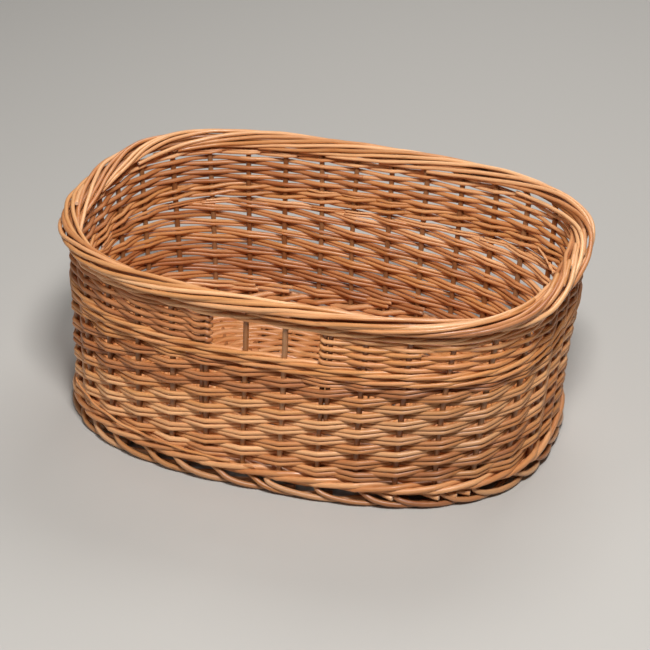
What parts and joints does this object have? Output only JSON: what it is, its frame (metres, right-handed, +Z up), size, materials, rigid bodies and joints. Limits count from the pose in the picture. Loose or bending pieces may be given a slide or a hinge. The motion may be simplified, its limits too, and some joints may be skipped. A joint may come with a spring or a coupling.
{
  "type": "display basket",
  "caption": "Oval woven willow display basket with flared upright walls, a rolled border, a rope-like foot, a woven base and a hand hole in the front wall.",
  "frame": {"origin": "centre of the basket's footprint on the floor", "axes": "+X along the long side, -Y out of the front wall with the hand hole, +Z up"},
  "size_m": [0.539, 0.379, 0.223],
  "materials": {
    "upright_willow": "buff willow, smooth peeled rod with a low natural sheen",
    "weaver_willow": "buff willow, smooth peeled rod with a soft satin sheen"
  },
  "bodies": {
    "root": {"stake_01": "upright_willow", "stake_02": "upright_willow", "stake_03": "upright_willow", "stake_04": "upright_willow", "stake_05": "upright_willow", "stake_06": "upright_willow", "stake_07": "upright_willow", "stake_08": "upright_willow", "stake_09": "upright_willow", "stake_10": "upright_willow", "stake_11": "upright_willow", "stake_12": "upright_willow", "stake_13": "upright_willow", "stake_14": "upright_willow", "stake_15": "upright_willow", "stake_16": "upright_willow", "stake_17": "upright_willow", "stake_18": "upright_willow", "stake_19": "upright_willow", "stake_20": "upright_willow", "stake_21": "upright_willow", "stake_22": "upright_willow", "stake_23": "upright_willow", "stake_24": "upright_willow", "stake_25": "upright_willow", "stake_26": "upright_willow", "stake_27": "upright_willow", "stake_28": "upright_willow", "stake_29": "upright_willow", "stake_30": "upright_willow", "stake_31": "upright_willow", "stake_32": "upright_willow", "stake_33": "upright_willow", "stake_34": "upright_willow", "stake_35": "upright_willow", "stake_36": "upright_willow", "bye_stake_right": "upright_willow", "bye_stake_left": "upright_willow", "upsett_1": "weaver_willow", "upsett_2": "weaver_willow", "mid_wale_1": "weaver_willow", "mid_wale_2": "weaver_willow", "top_wale": "weaver_willow", "siding_course_01": "weaver_willow", "siding_course_02": "weaver_willow", "siding_course_03": "weaver_willow", "siding_course_04": "weaver_willow", "siding_course_05": "weaver_willow", "siding_course_06": "weaver_willow", "siding_course_07": "weaver_willow", "siding_course_08": "weaver_willow", "siding_course_09": "weaver_willow", "siding_course_10": "weaver_willow", "siding_course_11": "weaver_willow", "siding_course_12": "weaver_willow", "upper_weaver_1": "weaver_willow", "upper_weaver_2": "weaver_willow", "upper_weaver_3": "weaver_willow", "upper_weaver_4": "weaver_willow", "woven_base": "weaver_willow"}
  },
  "joints": []
}
